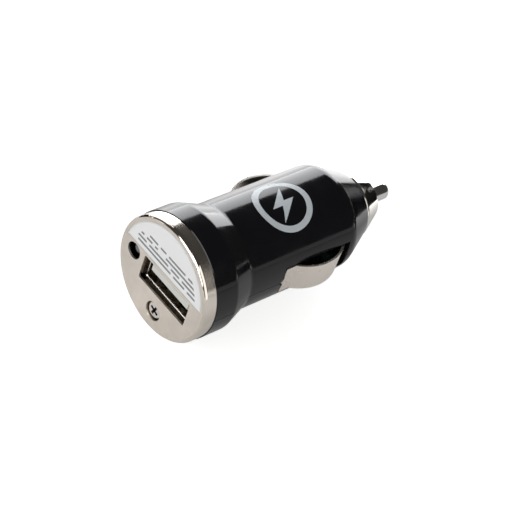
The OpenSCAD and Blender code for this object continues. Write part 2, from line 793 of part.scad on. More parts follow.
// Circuit board, wide in the flange and narrow in the barrel
module circuit_board() {
    color("#2f6b3c") translate([0, 0, board_bottom]) difference() {
        linear_extrude(board_t) difference() {
            union() {
                translate([-board_front_w / 2, board_start])
                    square([board_front_w, board_step - board_start]);
                translate([-board_w / 2, board_start]) square([board_w, board_end - board_start]);
            }
            for (x = [-1, 1]) translate([usb_x + x * (shell_w / 2 - shell_sheet / 2), leg_usb_y])
                square([shell_sheet + 0.3, leg_usb_w + 0.3], center = true);
            for (x = contact_x) translate([usb_x + x, usb_end + 0.1 + 0.125]) circle(0.48);
            for (k = [0, 1]) translate([-lamp_x, lamp_lead_y(k)]) circle(lamp_wire_d / 2 + 0.1);
            for (x = [-1, 1], k = [-1, 1])
                translate([x * can_x + k * can_lead, can_end + can_lead_out]) circle(0.4);
        }
    }
}

// Round lamp with a domed lens and a rim
function lamp_lead_y(k) = lamp_base + lamp_bend + k * lamp_step;
module indicator_lamp() {
    lens_r = lamp_d / 2;
    color("#2a2c30") translate([-lamp_x, 0, -lamp_drop]) turned(concat(
        [for (i = [0:round_steps]) let (w = 90 * i / round_steps)
            [lamp_set + lens_r * (1 - cos(w)), lens_r * sin(w)]],
        [[lamp_base - 1, lens_r], [lamp_base - 1, lens_r + 0.35], [lamp_base, lens_r + 0.35], [lamp_base, 0]]
    ));
}

// The lamp's two wires, bent down to the board
module lamp_leads() {
    color("#c2c4c6") for (k = [0, 1]) {
        z = -lamp_drop + (k - 0.5) * lamp_pitch;
        y = lamp_lead_y(k);
        translate([-lamp_x, 0, z]) along(lamp_base, y) circle(lamp_wire_d / 2);
        translate([-lamp_x, y, z]) sphere(lamp_wire_d / 2);
        translate([-lamp_x, y, board_bottom - 0.6])
            cylinder(h = z - board_bottom + 0.6, r = lamp_wire_d / 2);
    }
}

// Drum core of the storage coil, standing on the board
module inductor_core() {
    color("#3c3d40") translate([coil_x, coil_y, board_top]) rotate_extrude() polygon([
        [0, 0], [coil_r, 0], [coil_r, coil_flange], [coil_r * 0.5, coil_flange],
        [coil_r * 0.5, coil_h - coil_flange], [coil_r, coil_h - coil_flange], [coil_r, coil_h], [0, coil_h]
    ]);
}

// Copper winding round the drum core, as the layer of its turns
module inductor_winding() {
    turns = 5;
    pitch = (coil_h - 2 * coil_flange) / turns;
    color("#b5652f") translate([coil_x, coil_y, board_top + coil_flange]) rotate_extrude() polygon(concat(
        [[coil_r * 0.5, 0]],
        [for (k = [0:turns - 1], p = [0.15, 0.5, 0.85]) [coil_r - (p == 0.5 ? 0.2 : 0.35), (k + p) * pitch]],
        [[coil_r * 0.5, turns * pitch]]
    ));
}

// One lying electrolytic capacitor with its two wires bent down to the board
module capacitor(x) {
    z = board_top + can_r;
    translate([x, 0, z]) {
        turned(concat(
            [[can_start, 0]],
            corner([can_start, 0], [can_start, can_r], [can_end, can_r], 0.4),
            [[can_end - 2, can_r], [can_end - 1.7, can_r - 0.3], [can_end - 1.4, can_r - 0.3],
                [can_end - 1.1, can_r], [can_end - 0.2, can_r], [can_end, can_r - 0.3], [can_end, 0]]
        ));
        for (k = [-1, 1]) translate([k * can_lead, 0, 0]) {
            along(can_end - 0.1, can_end + can_lead_out) circle(0.25);
            translate([0, can_end + can_lead_out, 0]) sphere(0.25);
            translate([0, can_end + can_lead_out, board_bottom - 0.5 - z])
                cylinder(h = z - board_bottom + 0.5, r = 0.25);
        }
    }
}
module input_capacitor() { color("#23314f") capacitor(-can_x); }
module output_capacitor() { color("#23314f") capacitor(can_x); }

// Regulator in an eight-lead case under the board
module regulator_chip() {
    body = [3.9, 4.9, 1.4];
    lead = [0.42, 0.25];
    reach = 1;
    y = (leaf_bow_start + leaf_bow_end) / 2;
    color("#222326") translate([0, y, board_bottom]) {
        translate([-body[0] / 2, -body[1] / 2, -body[2] - 0.12]) cube(body);
        for (side = [-1, 1], k = [-1.5:1:1.5]) flip_x(side)
            translate([body[0] / 2, k * 1.27 - lead[0] / 2, 0]) rotate([-90, 0, 0])
                linear_extrude(lead[0]) polygon([
                    [-0.05, 0.75], [0.45, 0.75], [0.45, lead[1]], [reach, lead[1]], [reach, 0], [0.2, 0],
                    [0.2, 0.75 - lead[1]], [-0.05, 0.75 - lead[1]]
                ]);
    }
}

// Rectifier in a moulded case under the board
module rectifier_diode() {
    body = [4.3, 2.6, 2];
    color("#1f2022") translate([0, coil_y, board_bottom]) {
        translate([-body[0] / 2, -body[1] / 2, -body[2]]) cube(body);
        for (x = [-1, 1]) translate([x * body[0] / 2 - 0.5, -0.75, -0.3]) cube([1, 1.5, 0.3]);
    }
}

// Small resistors on the board's top, in a row beside the coil
module chip_resistors() {
    color("#2b2b2e") for (k = [0:3])
        translate([coil_x + coil_r + 0.9, board_rib_near + k * 1.1, board_top]) cube([1.6, 0.8, 0.5]);
}

// Small capacitors on the board's top, in a row beside the front post
module chip_capacitors() {
    chip = [2, 1.2, 0.9];
    gap = 0.3;
    color("#a98a63") for (k = [0:2])
        translate([front_post_x - post_t / 2 - 0.1 - chip[0],
            board_rib_near + k * (chip[1] + gap), board_top])
            cube(chip);
}

face_cap();
face_label();
face_screw();
housing_upper();
housing_lower();
nose_ring();
centre_pin();
tip_spring();
spring_seat();
side_contact_left();
side_contact_right();
ground_clip_left();
ground_clip_right();
usb_shell();
usb_tongue();
usb_contacts();
circuit_board();
indicator_lamp();
lamp_leads();
regulator_chip();
inductor_core();
inductor_winding();
input_capacitor();
output_capacitor();
rectifier_diode();
chip_resistors();
chip_capacitors();
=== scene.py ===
import math

import bmesh
import bpy
from mathutils import Matrix, Vector


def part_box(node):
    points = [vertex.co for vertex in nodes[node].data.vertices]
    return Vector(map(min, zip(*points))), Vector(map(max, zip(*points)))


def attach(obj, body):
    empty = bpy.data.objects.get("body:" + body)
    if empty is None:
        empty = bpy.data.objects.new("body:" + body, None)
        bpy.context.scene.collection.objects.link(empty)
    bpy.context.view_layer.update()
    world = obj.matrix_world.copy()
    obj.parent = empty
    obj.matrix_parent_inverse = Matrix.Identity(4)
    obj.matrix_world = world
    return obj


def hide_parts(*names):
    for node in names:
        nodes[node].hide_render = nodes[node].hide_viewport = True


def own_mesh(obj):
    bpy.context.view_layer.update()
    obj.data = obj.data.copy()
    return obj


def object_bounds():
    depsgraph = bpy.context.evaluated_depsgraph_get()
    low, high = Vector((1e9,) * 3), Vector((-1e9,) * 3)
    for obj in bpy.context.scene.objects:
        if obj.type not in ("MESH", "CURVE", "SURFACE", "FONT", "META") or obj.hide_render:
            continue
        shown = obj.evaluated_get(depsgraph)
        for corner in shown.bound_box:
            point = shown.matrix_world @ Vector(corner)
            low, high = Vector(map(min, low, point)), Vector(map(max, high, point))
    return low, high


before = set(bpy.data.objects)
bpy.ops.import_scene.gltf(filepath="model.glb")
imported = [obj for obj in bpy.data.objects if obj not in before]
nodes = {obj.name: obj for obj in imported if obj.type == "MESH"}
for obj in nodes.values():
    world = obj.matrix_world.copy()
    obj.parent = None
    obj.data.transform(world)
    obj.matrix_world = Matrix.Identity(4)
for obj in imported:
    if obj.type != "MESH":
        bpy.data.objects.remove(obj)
cad_low, cad_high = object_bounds()

# --- Camera ------------------------------------------------------------------
# Looks down on the face and the upper right of the barrel from half a metre,
# through a long lens, as the product picture was taken.
camera = bpy.data.objects.new("Camera", bpy.data.cameras.new("Camera"))
bpy.context.scene.collection.objects.link(camera)
camera.data.sensor_width = 36
camera.data.lens = 127.45
camera.data.clip_start, camera.data.clip_end = 0.01, 10
camera_axes = Matrix(
    ((0.6139, -0.6663, 0.4233), (0.7437, 0.3086, -0.5930), (0.2645, 0.6788, 0.6850))
)
camera.matrix_world = Matrix.Translation((0.14452, -0.17744, 0.22843)) @ camera_axes.to_4x4()
bpy.context.scene.camera = camera
bpy.context.scene.view_settings.view_transform = "Standard"


# --- Table, backdrop and lamps -----------------------------------------------
# White card table that the plug lies on, with black cloths behind and on the
# left for dark lines in the metal. A bright soft box stands behind on the left,
# dimmer ones stand right, left and in front, and the room is dark.
def link_mesh(name, bm):
    """Makes an object from a bmesh, which is freed."""
    mesh = bpy.data.meshes.new(name)
    bm.to_mesh(mesh)
    bm.free()
    obj = bpy.data.objects.new(name, mesh)
    bpy.context.scene.collection.objects.link(obj)
    return obj


def knot(tree, kind, feeds=None, **settings):
    """A node. feeds gives its inputs, by name or number, an output to follow or a value."""
    node = tree.nodes.new(kind)
    for key, value in settings.items():
        setattr(node, key, value)
    for key, feed in (feeds or {}).items():
        if isinstance(feed, bpy.types.NodeSocket):
            tree.links.new(feed, node.inputs[key])
        else:
            node.inputs[key].default_value = feed
    return node


def math_of(mat, kind, *values):
    """Output of a Math node of this kind. Each value is a number or an output."""
    feeds = dict(enumerate(values))
    return knot(mat.node_tree, "ShaderNodeMath", feeds, operation=kind).outputs[0]


def span(mat, value, low, high, to_low=0.0, to_high=1.0):
    """Maps low..high of a value to to_low..to_high, clamped."""
    ranges = {"From Min": low, "From Max": high, "To Min": to_low, "To Max": to_high}
    feeds = {"Value": value, **ranges}
    return knot(mat.node_tree, "ShaderNodeMapRange", feeds).outputs["Result"]


def finish(name, colour, metallic, roughness, **sockets):
    """A material. sockets are further inputs of its shader, with _ for each space."""
    mat = bpy.data.materials.new(name)
    mat.use_nodes = True
    shader = mat.node_tree.nodes["Principled BSDF"]
    shader.inputs["Base Color"].default_value = (*colour, 1)
    shader.inputs["Metallic"].default_value = metallic
    shader.inputs["Roughness"].default_value = roughness
    for socket, value in sockets.items():
        shader.inputs[socket.replace("_", " ")].default_value = value
    return mat


def bank(name, turn, rise, away, brightness, colour=(1, 1, 1)):
    """A soft box that fills the angles turn (from +X) and rise, and faces the plug."""
    lamp = bpy.data.lights.new(name, "AREA")
    lamp.shape = "RECTANGLE"
    lamp.size = 2 * away * math.tan(math.radians(abs(turn[1] - turn[0]) / 2))
    lamp.size_y = 2 * away * math.tan(math.radians((rise[1] - rise[0]) / 2))
    lamp.energy = brightness * math.pi * lamp.size * lamp.size_y
    lamp.color = colour
    obj = bpy.data.objects.new(name, lamp)
    bpy.context.scene.collection.objects.link(obj)
    a, e = math.radians(sum(turn) / 2), math.radians(sum(rise) / 2)
    way = Vector((math.cos(a) * math.cos(e), math.sin(a) * math.cos(e), math.sin(e)))
    obj.location = plug_middle + way * away
    obj.rotation_euler = (-way).to_track_quat("-Z", "Y").to_euler()
    obj.visible_camera = False


table_z, table_half = cad_low.z, 1.5
bm = bmesh.new()
bmesh.ops.create_grid(bm, x_segments=1, y_segments=1, size=table_half)
bmesh.ops.translate(bm, verts=bm.verts, vec=(0, 0, table_z))
table = link_mesh("table", bm)

# The card is white to the eye. In the plug's gloss it glows as a painted pool of light, bright
# only far behind on the left.
card_white = 0.72
behind_left = (-0.766, 0.643, 0)
fade_near, fade_far, glow_near, glow_far = 0.04, 0.09, 0.15, 3.2
card = bpy.data.materials.new("table_card")
card.use_nodes = True
net = card.node_tree
net.nodes.clear()
path = knot(net, "ShaderNodeLightPath").outputs
spot = knot(net, "ShaderNodeTexCoord").outputs["Object"]
behind = knot(net, "ShaderNodeVectorMath", {0: spot, 1: behind_left}, operation="DOT_PRODUCT")
# Painted light: in reflections the card glows more strongly the further it lies behind on the
# left.
painted_light_pool = span(card, behind.outputs["Value"], fade_near, fade_far, glow_near, glow_far)
plain = math_of(card, "MAXIMUM", path["Is Camera Ray"], path["Is Transmission Ray"])
gloss = math_of(card, "MULTIPLY", path["Is Glossy Ray"], painted_light_pool)
level = math_of(card, "MULTIPLY", math_of(card, "MAXIMUM", plain, gloss), card_white)
matt = knot(net, "ShaderNodeBsdfDiffuse", {"Color": (card_white, card_white, card_white, 1)})
glow = knot(net, "ShaderNodeEmission", {"Strength": level})
both = knot(net, "ShaderNodeAddShader", {0: matt.outputs[0], 1: glow.outputs[0]})
knot(net, "ShaderNodeOutputMaterial", {"Surface": both.outputs[0]})
table.data.materials.append(card)

flag_lift = 0.0005
flag_behind = ((-0.03, 0.108), (0.05, 0.108), (0.38, 0.8), (-0.27, 0.8))
flag_left = ((-0.06, -0.02), (-0.06, 0.025), (-0.6, 0.2), (-0.6, -0.3))
bm = bmesh.new()
for corners in (flag_behind, flag_left):
    bm.faces.new([bm.verts.new((x, y, table_z + flag_lift)) for x, y in corners])
flag = link_mesh("black_flag", bm)
black_wool = (0.012, 0.012, 0.012)
cloth = finish("flag_cloth", black_wool, metallic=0, roughness=0.9, Specular_IOR_Level=0)
flag.data.materials.append(cloth)
flag.visible_camera = flag.visible_shadow = False

world = bpy.data.worlds.new("Studio")
bpy.context.scene.world = world
world.use_nodes = True
room = world.node_tree.nodes["Background"]
room.inputs["Color"].default_value = (1.0, 0.96, 0.9, 1)
room.inputs["Strength"].default_value = 0.05
plug_middle = Vector((0, 0.028, 0))
bank("back_left_box", (110, 153), (-1, 30), 0.6, 5.0, (0.97, 0.98, 1.0))
bank("right_box", (-25, 30), (0, 55), 0.7, 1.2, (1.0, 0.97, 0.93))
bank("right_strip", (30, 56), (0, 7), 0.7, 0.6)
bank("left_box", (155, 190), (0, 50), 0.7, 1.5)
bank("front_box", (-112, -60), (3, 45), 0.7, 3.2)


# --- Moulded shells ----------------------------------------------------------
# Two half shells, injection moulded in glossy black plastic. The skin has the
# faint waviness of a polished mould, and a dark hairline where the halves meet.
def place(mat, scale=(1, 1, 1), shift=(0, 0, 0)):
    """Object coordinates of a piece, stretched or moved for a pattern."""
    coords = knot(mat.node_tree, "ShaderNodeTexCoord").outputs["Object"]
    feeds = {"Vector": coords, "Scale": scale, "Location": shift}
    return knot(mat.node_tree, "ShaderNodeMapping", feeds).outputs["Vector"]


def axis_of(mat, where, axis):
    return knot(mat.node_tree, "ShaderNodeSeparateXYZ", {"Vector": where}).outputs[axis]


def noise_of(mat, where, scale, detail):
    feeds = {"Vector": where, "Scale": scale, "Detail": detail}
    return knot(mat.node_tree, "ShaderNodeTexNoise", feeds).outputs["Fac"]


def steer(mat, socket, out):
    """Lets an output set an input of the material's shader."""
    mat.node_tree.links.new(out, mat.node_tree.nodes["Principled BSDF"].inputs[socket])


def grain(mat, where, scale, height, detail=3.0, under=None):
    """Fine relief from noise. height is in metres, and under is a relief that it is added to."""
    feeds = {"Distance": height, "Height": noise_of(mat, where, scale, detail)}
    if under:
        feeds["Normal"] = under
    relief = knot(mat.node_tree, "ShaderNodeBump", feeds).outputs["Normal"]
    steer(mat, "Normal", relief)
    return relief


def mottle(mat, where, scale, low, high):
    """Roughness that wanders between low and high in soft patches."""
    patch = noise_of(mat, where, scale, 4.0)
    steer(mat, "Roughness", span(mat, patch, 0.35, 0.65, low, high))
    return patch


def tint(mat, mask, first, second):
    """Base colour that goes from first to second by a mask. first may be a tint."""
    below = first if isinstance(first, bpy.types.NodeSocket) else (*first, 1)
    feeds = {"Factor": mask, "A": below, "B": (*second, 1)}
    colour = knot(mat.node_tree, "ShaderNodeMix", feeds, data_type="RGBA").outputs["Result"]
    steer(mat, "Base Color", colour)
    return colour


def dress(node, mat):
    """Gives a CAD node its only material."""
    slots = nodes[node].data.materials
    slots.clear()
    slots.append(mat)


black = finish("shell_black", (0.006, 0.006, 0.0075), metallic=0, roughness=0.13, IOR=1.42)
where = place(black)
patch = mottle(black, where, scale=260, low=0.08, high=0.14)
tint(black, patch, (0.005, 0.005, 0.0065), (0.007, 0.007, 0.0088))
wave = grain(black, where, scale=190, height=0.000012, detail=1.5)
grain(black, where, scale=2600, height=0.0000012, detail=2, under=wave)
for name in ("housing_upper", "housing_lower"):
    dress(name, black)


# --- Print on the barrel -----------------------------------------------------
# Pad-printed in one pale grey ink on the upper shell, a few micrometres thick: a
# plain ring round a charging bolt, laid on the round of the barrel.
def outline(bm, points):
    """Draws a closed line and returns its edges."""
    verts = [bm.verts.new((s, t, 0)) for s, t in points]
    return [bm.edges.new((verts[i], verts[(i + 1) % len(verts)])) for i in range(len(verts))]


def round_line(radius, count):
    turns = [math.tau * i / count for i in range(count)]
    return [(radius * math.cos(turn), radius * math.sin(turn)) for turn in turns]


mm = 0.001
barrel_r, print_skin = 0.0103, 0.00001
print_r = barrel_r + print_skin
print_y, print_turn = 0.0247, math.radians(84)
ring_out, ring_in, ring_points = 5.9, 4.65, 96
bolt = [(1.1, 3.9), (-2.1, -0.5), (-0.3, -0.5), (-1.1, -3.9), (2.1, 0.5), (0.3, 0.5)]
bolt_wide, bolt_lean, bolt_tall = 1.3, 0.16, 0.95
fold_step, fold_count = 0.42, 14
bm = bmesh.new()
edges = outline(bm, round_line(ring_out, ring_points))
edges += outline(bm, round_line(ring_in, ring_points))
bmesh.ops.triangle_fill(bm, use_beauty=True, edges=edges)
edges = outline(bm, [(bolt_wide * s + bolt_lean * t, bolt_tall * t) for s, t in bolt])
bmesh.ops.triangle_fill(bm, use_beauty=True, edges=edges)
for k in range(-fold_count, fold_count + 1):
    everything = bm.verts[:] + bm.edges[:] + bm.faces[:]
    fold = (0, k * fold_step, 0)
    bmesh.ops.bisect_plane(bm, geom=everything, plane_co=fold, plane_no=(0, 1, 0))
for v in bm.verts:
    turn = print_turn + v.co.y * mm / barrel_r
    v.co = Vector((print_r * math.cos(turn), print_y + v.co.x * mm, print_r * math.sin(turn)))
bmesh.ops.recalc_face_normals(bm, faces=bm.faces)
if sum(f.normal.z * f.calc_area() for f in bm.faces) < 0:
    bmesh.ops.reverse_faces(bm, faces=bm.faces)
barrel_print = link_mesh("barrel_print", bm)
ink_film = barrel_print.modifiers.new("ink_film", "SOLIDIFY")
ink_film.thickness, ink_film.offset = 0.006 * mm, 1
ink = finish("pad_ink", (0.56, 0.60, 0.63), metallic=0, roughness=0.38)
where = place(ink)
patch = mottle(ink, where, scale=900, low=0.3, high=0.44)
tint(ink, patch, (0.53, 0.58, 0.62), (0.60, 0.65, 0.69))
grain(ink, where, scale=5200, height=0.000003)
barrel_print.data.materials.append(ink)
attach(barrel_print, "housing")


# --- Face cap ----------------------------------------------------------------
# Drawn from 0.4 mm steel sheet and plated in satin nickel, pushed over the
# shells' lip. The drawing leaves a fine grain, and the rolled edge is polished.
# The wall of the dimple round the screw is darkened with painted shade.
def off_axis(mat, x=0.0, z=0.0):
    """Distance from the line along the plug that passes through x, z."""
    feeds = {0: place(mat, (1, 0, 1), (-x, 0, -z))}
    return knot(mat.node_tree, "ShaderNodeVectorMath", feeds, operation="LENGTH").outputs["Value"]


screw_x, screw_z = 0.0005, -0.0079
nickel = finish("satin_nickel", (0.84, 0.775, 0.70), metallic=1, roughness=0.28)
where = place(nickel)
radial, depth = off_axis(nickel), axis_of(nickel, where, "Y")
patch = noise_of(nickel, where, 420, 5)
satin = span(nickel, patch, 0.35, 0.65, 0.33, 0.39)
rolled = span(nickel, radial, 0.0113, 0.0118, 1.0, 0.42)
off_bend = math_of(
    nickel,
    "MAXIMUM",
    span(nickel, radial, 0.0112, 0.0115, 1, 0),
    span(nickel, depth, 0.0006, 0.0009),
)
polish = math_of(nickel, "MULTIPLY", rolled, span(nickel, off_bend, 0, 1, 0.3, 1))
steer(nickel, "Roughness", math_of(nickel, "MULTIPLY", satin, polish))
# Painted shade in the dimple round the screw: its wall is darkened near the face.
painted_crevice_shade = math_of(
    nickel,
    "MULTIPLY",
    span(nickel, off_axis(nickel, screw_x, screw_z), 0.0019, 0.0021, 1, 0),
    span(nickel, depth, 0.0001, 0.0006),
)
patch = span(nickel, patch, 0.3, 0.7)
plate = tint(nickel, patch, (0.81, 0.745, 0.67), (0.87, 0.805, 0.73))
tint(nickel, painted_crevice_shade, plate, (0.16, 0.14, 0.12))
soft = grain(nickel, where, scale=700, height=0.0000015)
grain(nickel, place(nickel, (1, 1, 9)), scale=5200, height=0.0000016, detail=2, under=soft)
dress("face_cap", nickel)


# --- Face label --------------------------------------------------------------
# Die-cut segment of matt polyester film in a shallow recess of the cap. A thin
# grey line runs round its edge, and rows of plain bars stand where it is printed.
film = finish("label_film", (0.78, 0.785, 0.795), metallic=0, roughness=0.55)
where = place(film)
film_x, film_z = axis_of(film, where, "X"), axis_of(film, where, "Z")
film_r = off_axis(film)
line_r, line_z, line_w = 0.01058, 0.00238, 0.00006
rim = math_of(
    film,
    "MAXIMUM",
    span(film, film_r, line_r, line_r + line_w),
    span(film, film_z, line_z - line_w, line_z, 1, 0),
)
row_low, row_pitch, row_count, row_fill = 0.0030, 0.00095, 4, 0.46
row_at = math_of(film, "DIVIDE", math_of(film, "SUBTRACT", film_z, row_low), row_pitch)
row_number = math_of(film, "FLOOR", row_at)
above_first = math_of(film, "GREATER_THAN", row_at, 0)
below_last = math_of(film, "LESS_THAN", row_at, row_count)
in_bar = math_of(film, "LESS_THAN", math_of(film, "FRACT", row_at), row_fill)
in_row = math_of(film, "MULTIPLY", in_bar, math_of(film, "MULTIPLY", above_first, below_last))
cells_per_metre, row_shift, gap_share, bars_r = 1250, 7.3, 0.24, 0.0092
shifted = math_of(film, "MULTIPLY", row_number, row_shift)
cell_at = math_of(film, "ADD", math_of(film, "MULTIPLY", film_x, cells_per_metre), shifted)
cell = {"X": math_of(film, "FLOOR", cell_at), "Y": row_number}
seed = {"Vector": knot(film.node_tree, "ShaderNodeCombineXYZ", cell).outputs["Vector"]}
pick = knot(film.node_tree, "ShaderNodeTexWhiteNoise", seed, noise_dimensions="2D")
filled = math_of(film, "GREATER_THAN", pick.outputs["Value"], gap_share)
bars = math_of(film, "MULTIPLY", in_row, filled)
bars = math_of(film, "MULTIPLY", bars, span(film, film_r, bars_r, bars_r + 0.00005, 1, 0))
bars = math_of(film, "MULTIPLY", bars, 0.85)
marks = math_of(film, "MAXIMUM", bars, math_of(film, "MULTIPLY", rim, 0.12))
tint(film, marks, (0.83, 0.835, 0.84), (0.09, 0.095, 0.105))
mottle(film, where, scale=800, low=0.48, high=0.62)
grain(film, where, scale=6500, height=0.000004)
dress("face_label", film)


# --- Face screw --------------------------------------------------------------
# Cross-head screw, cold headed and bright nickel plated. The driver's bite has
# left the walls of the cross a little rough. Painted shade darkens the cross deep down and the
# rim of the head.
bright = finish("bright_nickel", (0.78, 0.75, 0.70), metallic=1, roughness=0.16)
where = place(bright)
# Painted shade: the colour goes dark deep in the cross and round the head's rim.
shade_deep_in_cross = span(bright, axis_of(bright, where, "Y"), 0.0004, 0.0009)
shade_at_head_rim = span(bright, off_axis(bright, screw_x, screw_z), 0.00166, 0.00178)
painted_recess_shade = math_of(bright, "MAXIMUM", shade_deep_in_cross, shade_at_head_rim)
tint(bright, painted_recess_shade, (0.80, 0.77, 0.72), (0.16, 0.14, 0.12))
mottle(bright, where, scale=1800, low=0.07, high=0.16)
grain(bright, where, scale=3600, height=0.000003)
dress("face_screw", bright)


# --- Indicator lamp ----------------------------------------------------------
# Round 3 mm lamp in smoked epoxy, pushed in behind its hole and unlit. The front
# of its domed lens is painted paler grey as a painted highlight.
gloss = {"IOR": 1.55, "Coat_Weight": 0.6, "Coat_Roughness": 0.03}
smoke = finish("smoked_epoxy", (0.018, 0.019, 0.022), metallic=0, roughness=0.07, **gloss)
where = place(smoke, shift=(0.00805, 0, 0.0001))
# Painted highlight: the lens is pale grey at its front and dark further in.
painted_dome_highlight = span(smoke, axis_of(smoke, where, "Y"), 0.0009, 0.0016, 1, 0)
tint(smoke, painted_dome_highlight, (0.016, 0.017, 0.020), (0.15, 0.152, 0.16))
mottle(smoke, where, scale=900, low=0.05, high=0.12)
grain(smoke, where, scale=1500, height=0.000002)
dress("indicator_lamp", smoke)


# --- USB socket --------------------------------------------------------------
# Folded and plated steel shell round a moulded tongue. Just inside its mouth the
# plating has a band of painted shade, then a line of painted highlight over a small
# bump ridge, and deeper in its colour grows paler. Four pressed strips, flashed
# with gold, lie in the tongue's grooves.
shell_plate = finish("socket_plate", (0.40, 0.34, 0.28), metallic=1, roughness=0.3)
where = place(shell_plate)
mottle(shell_plate, where, scale=700, low=0.2, high=0.32)
mouth, inside = 0.125, 0.6  # shares of the first 10 mm behind the face
depth = span(shell_plate, axis_of(shell_plate, where, "Y"), 0, 0.01)
# Painted light: dark painted shade before the mouth, a painted highlight line just inside it,
# then plating colour that grows paler further in.
wear_and_painted_light = knot(shell_plate.node_tree, "ShaderNodeValToRGB", {"Fac": depth})
rub_and_sheen = (0.86, 0.82, 0.76, 1)
first, second = wear_and_painted_light.color_ramp.elements
first.position, first.color = mouth, (0.12, 0.095, 0.075, 1)
second.position, second.color = mouth + 0.01, rub_and_sheen
wear_and_painted_light.color_ramp.elements.new(mouth + 0.04).color = rub_and_sheen
wear_and_painted_light.color_ramp.elements.new(mouth + 0.06).color = (0.30, 0.25, 0.205, 1)
wear_and_painted_light.color_ramp.elements.new(inside).color = (0.48, 0.42, 0.36, 1)
steer(shell_plate, "Base Color", wear_and_painted_light.outputs["Color"])
rise = span(shell_plate, depth, mouth, mouth + 0.025)
fall = span(shell_plate, depth, mouth + 0.025, mouth + 0.05, 1, 0)
ridge = {"Height": math_of(shell_plate, "MINIMUM", rise, fall), "Distance": 0.0003}
bead = knot(shell_plate.node_tree, "ShaderNodeBump", ridge).outputs["Normal"]
grain(shell_plate, place(shell_plate, (1, 0.15, 1)), scale=4200, height=0.0000025, under=bead)
dress("usb_shell", shell_plate)

tongue = finish("tongue_moulding", (0.64, 0.65, 0.61), metallic=0, roughness=0.42)
where = place(tongue)
patch = mottle(tongue, where, scale=600, low=0.36, high=0.5)
tint(tongue, patch, (0.62, 0.63, 0.59), (0.67, 0.68, 0.64))
grain(tongue, where, scale=4800, height=0.000003)
dress("usb_tongue", tongue)

gold = finish("gold_flash", (0.75, 0.56, 0.27), metallic=1, roughness=0.25)
where = place(gold)
patch = mottle(gold, where, scale=1500, low=0.18, high=0.32)
tint(gold, patch, (0.71, 0.52, 0.24), (0.80, 0.62, 0.33))
grain(gold, place(gold, (1, 0.2, 1)), scale=6000, height=0.000002)
dress("usb_contacts", gold)


# --- Side contacts -----------------------------------------------------------
# Bowed strips of spring steel in satin nickel plate, sheared to width and
# folded into the shells. The sheared edges are smoother than the rolled faces, and
# a painted highlight makes their colour paler.
strip = finish("spring_strip", (0.90, 0.83, 0.76), metallic=1, roughness=0.3)
where = place(strip)
across = math_of(strip, "ABSOLUTE", axis_of(strip, where, "Z"))
sheared_edge_glint = span(strip, across, 0.00286, 0.00293)
satin = span(strip, noise_of(strip, where, 520, 4), 0.35, 0.65, 0.27, 0.37)
polish = span(strip, sheared_edge_glint, 0, 1, 1, 0.85)
steer(strip, "Roughness", math_of(strip, "MULTIPLY", satin, polish))
# Painted highlight: the sheared edges' colour is painted paler.
tint(strip, sheared_edge_glint, (0.90, 0.83, 0.76), (0.95, 0.90, 0.84))
soft = grain(strip, where, scale=650, height=0.000004)
grain(strip, place(strip, (1, 0.08, 1)), scale=5200, height=0.000002, detail=2, under=soft)
for name in ("side_contact_left", "side_contact_right"):
    dress(name, strip)


# --- Nose ring and centre pin ------------------------------------------------
# Both are turned from brass bar and bright plated. The tool leaves faint rings
# round the cone and the pin, and the pin's end is rubbed by the socket.
ring_plate = finish("ring_plate", (0.76, 0.735, 0.70), metallic=1, roughness=0.06)
where = place(ring_plate)
mottle(ring_plate, where, scale=500, low=0.04, high=0.09)
soft = grain(ring_plate, where, scale=900, height=0.000002, detail=2)
rings = place(ring_plate, (0.01, 1, 0.01))
grain(ring_plate, rings, scale=9000, height=0.0000012, detail=1, under=soft)
dress("nose_ring", ring_plate)

pin_plate = finish("pin_plate", (0.76, 0.75, 0.735), metallic=1, roughness=0.14)
where = place(pin_plate)
rub_and_sheen = span(pin_plate, axis_of(pin_plate, where, "Y"), 0.0549, 0.0559)
wear_and_painted_light = span(pin_plate, noise_of(pin_plate, where, 2200, 4), 0.4, 0.6, 0.2, 0.36)
rough = knot(pin_plate.node_tree, "ShaderNodeMix", {0: rub_and_sheen, 2: 0.12, 3: wear_and_painted_light}).outputs[0]
steer(pin_plate, "Roughness", rough)
soft = grain(pin_plate, where, scale=1400, height=0.000002, detail=2)
rings = place(pin_plate, (0.01, 1, 0.01))
grain(pin_plate, rings, scale=9000, height=0.000001, detail=1, under=soft)
dress("centre_pin", pin_plate)


# --- Tip spring and its seat -------------------------------------------------
# Coil of drawn steel wire behind the pin, on a pressed brass plate whose tail
# is soldered to the board. The real coil shortens as the pin goes in; this one keeps its rest
# length.
def start_tree(name, sizes):
    """A tree with an input for each size. Returns it, its ends and the inputs' identifiers."""
    tree = bpy.data.node_groups.new(name, "GeometryNodeTree")
    tree.interface.new_socket("Geometry", in_out="INPUT", socket_type="NodeSocketGeometry")
    tree.interface.new_socket("Geometry", in_out="OUTPUT", socket_type="NodeSocketGeometry")
    names = {}
    for label, value in sizes.items():
        kind = "NodeSocketInt" if isinstance(value, int) else "NodeSocketFloat"
        socket = tree.interface.new_socket(label, in_out="INPUT", socket_type=kind)
        socket.default_value = value
        names[label] = socket.identifier
    return tree, tree.nodes.new("NodeGroupInput"), tree.nodes.new("NodeGroupOutput"), names


def close_tree(tree, geometry, mat, end):
    """Makes the geometry real, gives it its material and sends it out."""
    real = knot(tree, "GeometryNodeRealizeInstances", {"Geometry": geometry})
    coat = {"Geometry": real.outputs["Geometry"], "Material": mat}
    coated = knot(tree, "GeometryNodeSetMaterial", coat)
    tree.links.new(coated.outputs["Geometry"], end.inputs["Geometry"])


def grow(carrier, tree, names, sizes):
    """Runs a tree on a carrier object and leaves the plain mesh on it."""
    maker = carrier.modifiers.new(tree.name, "NODES")
    maker.node_group = tree
    for label, value in sizes.items():
        maker[names[label]] = value
    depsgraph = bpy.context.evaluated_depsgraph_get()
    mesh = bpy.data.meshes.new_from_object(carrier.evaluated_get(depsgraph))
    carrier.modifiers.remove(maker)
    carrier.data = mesh
    return carrier


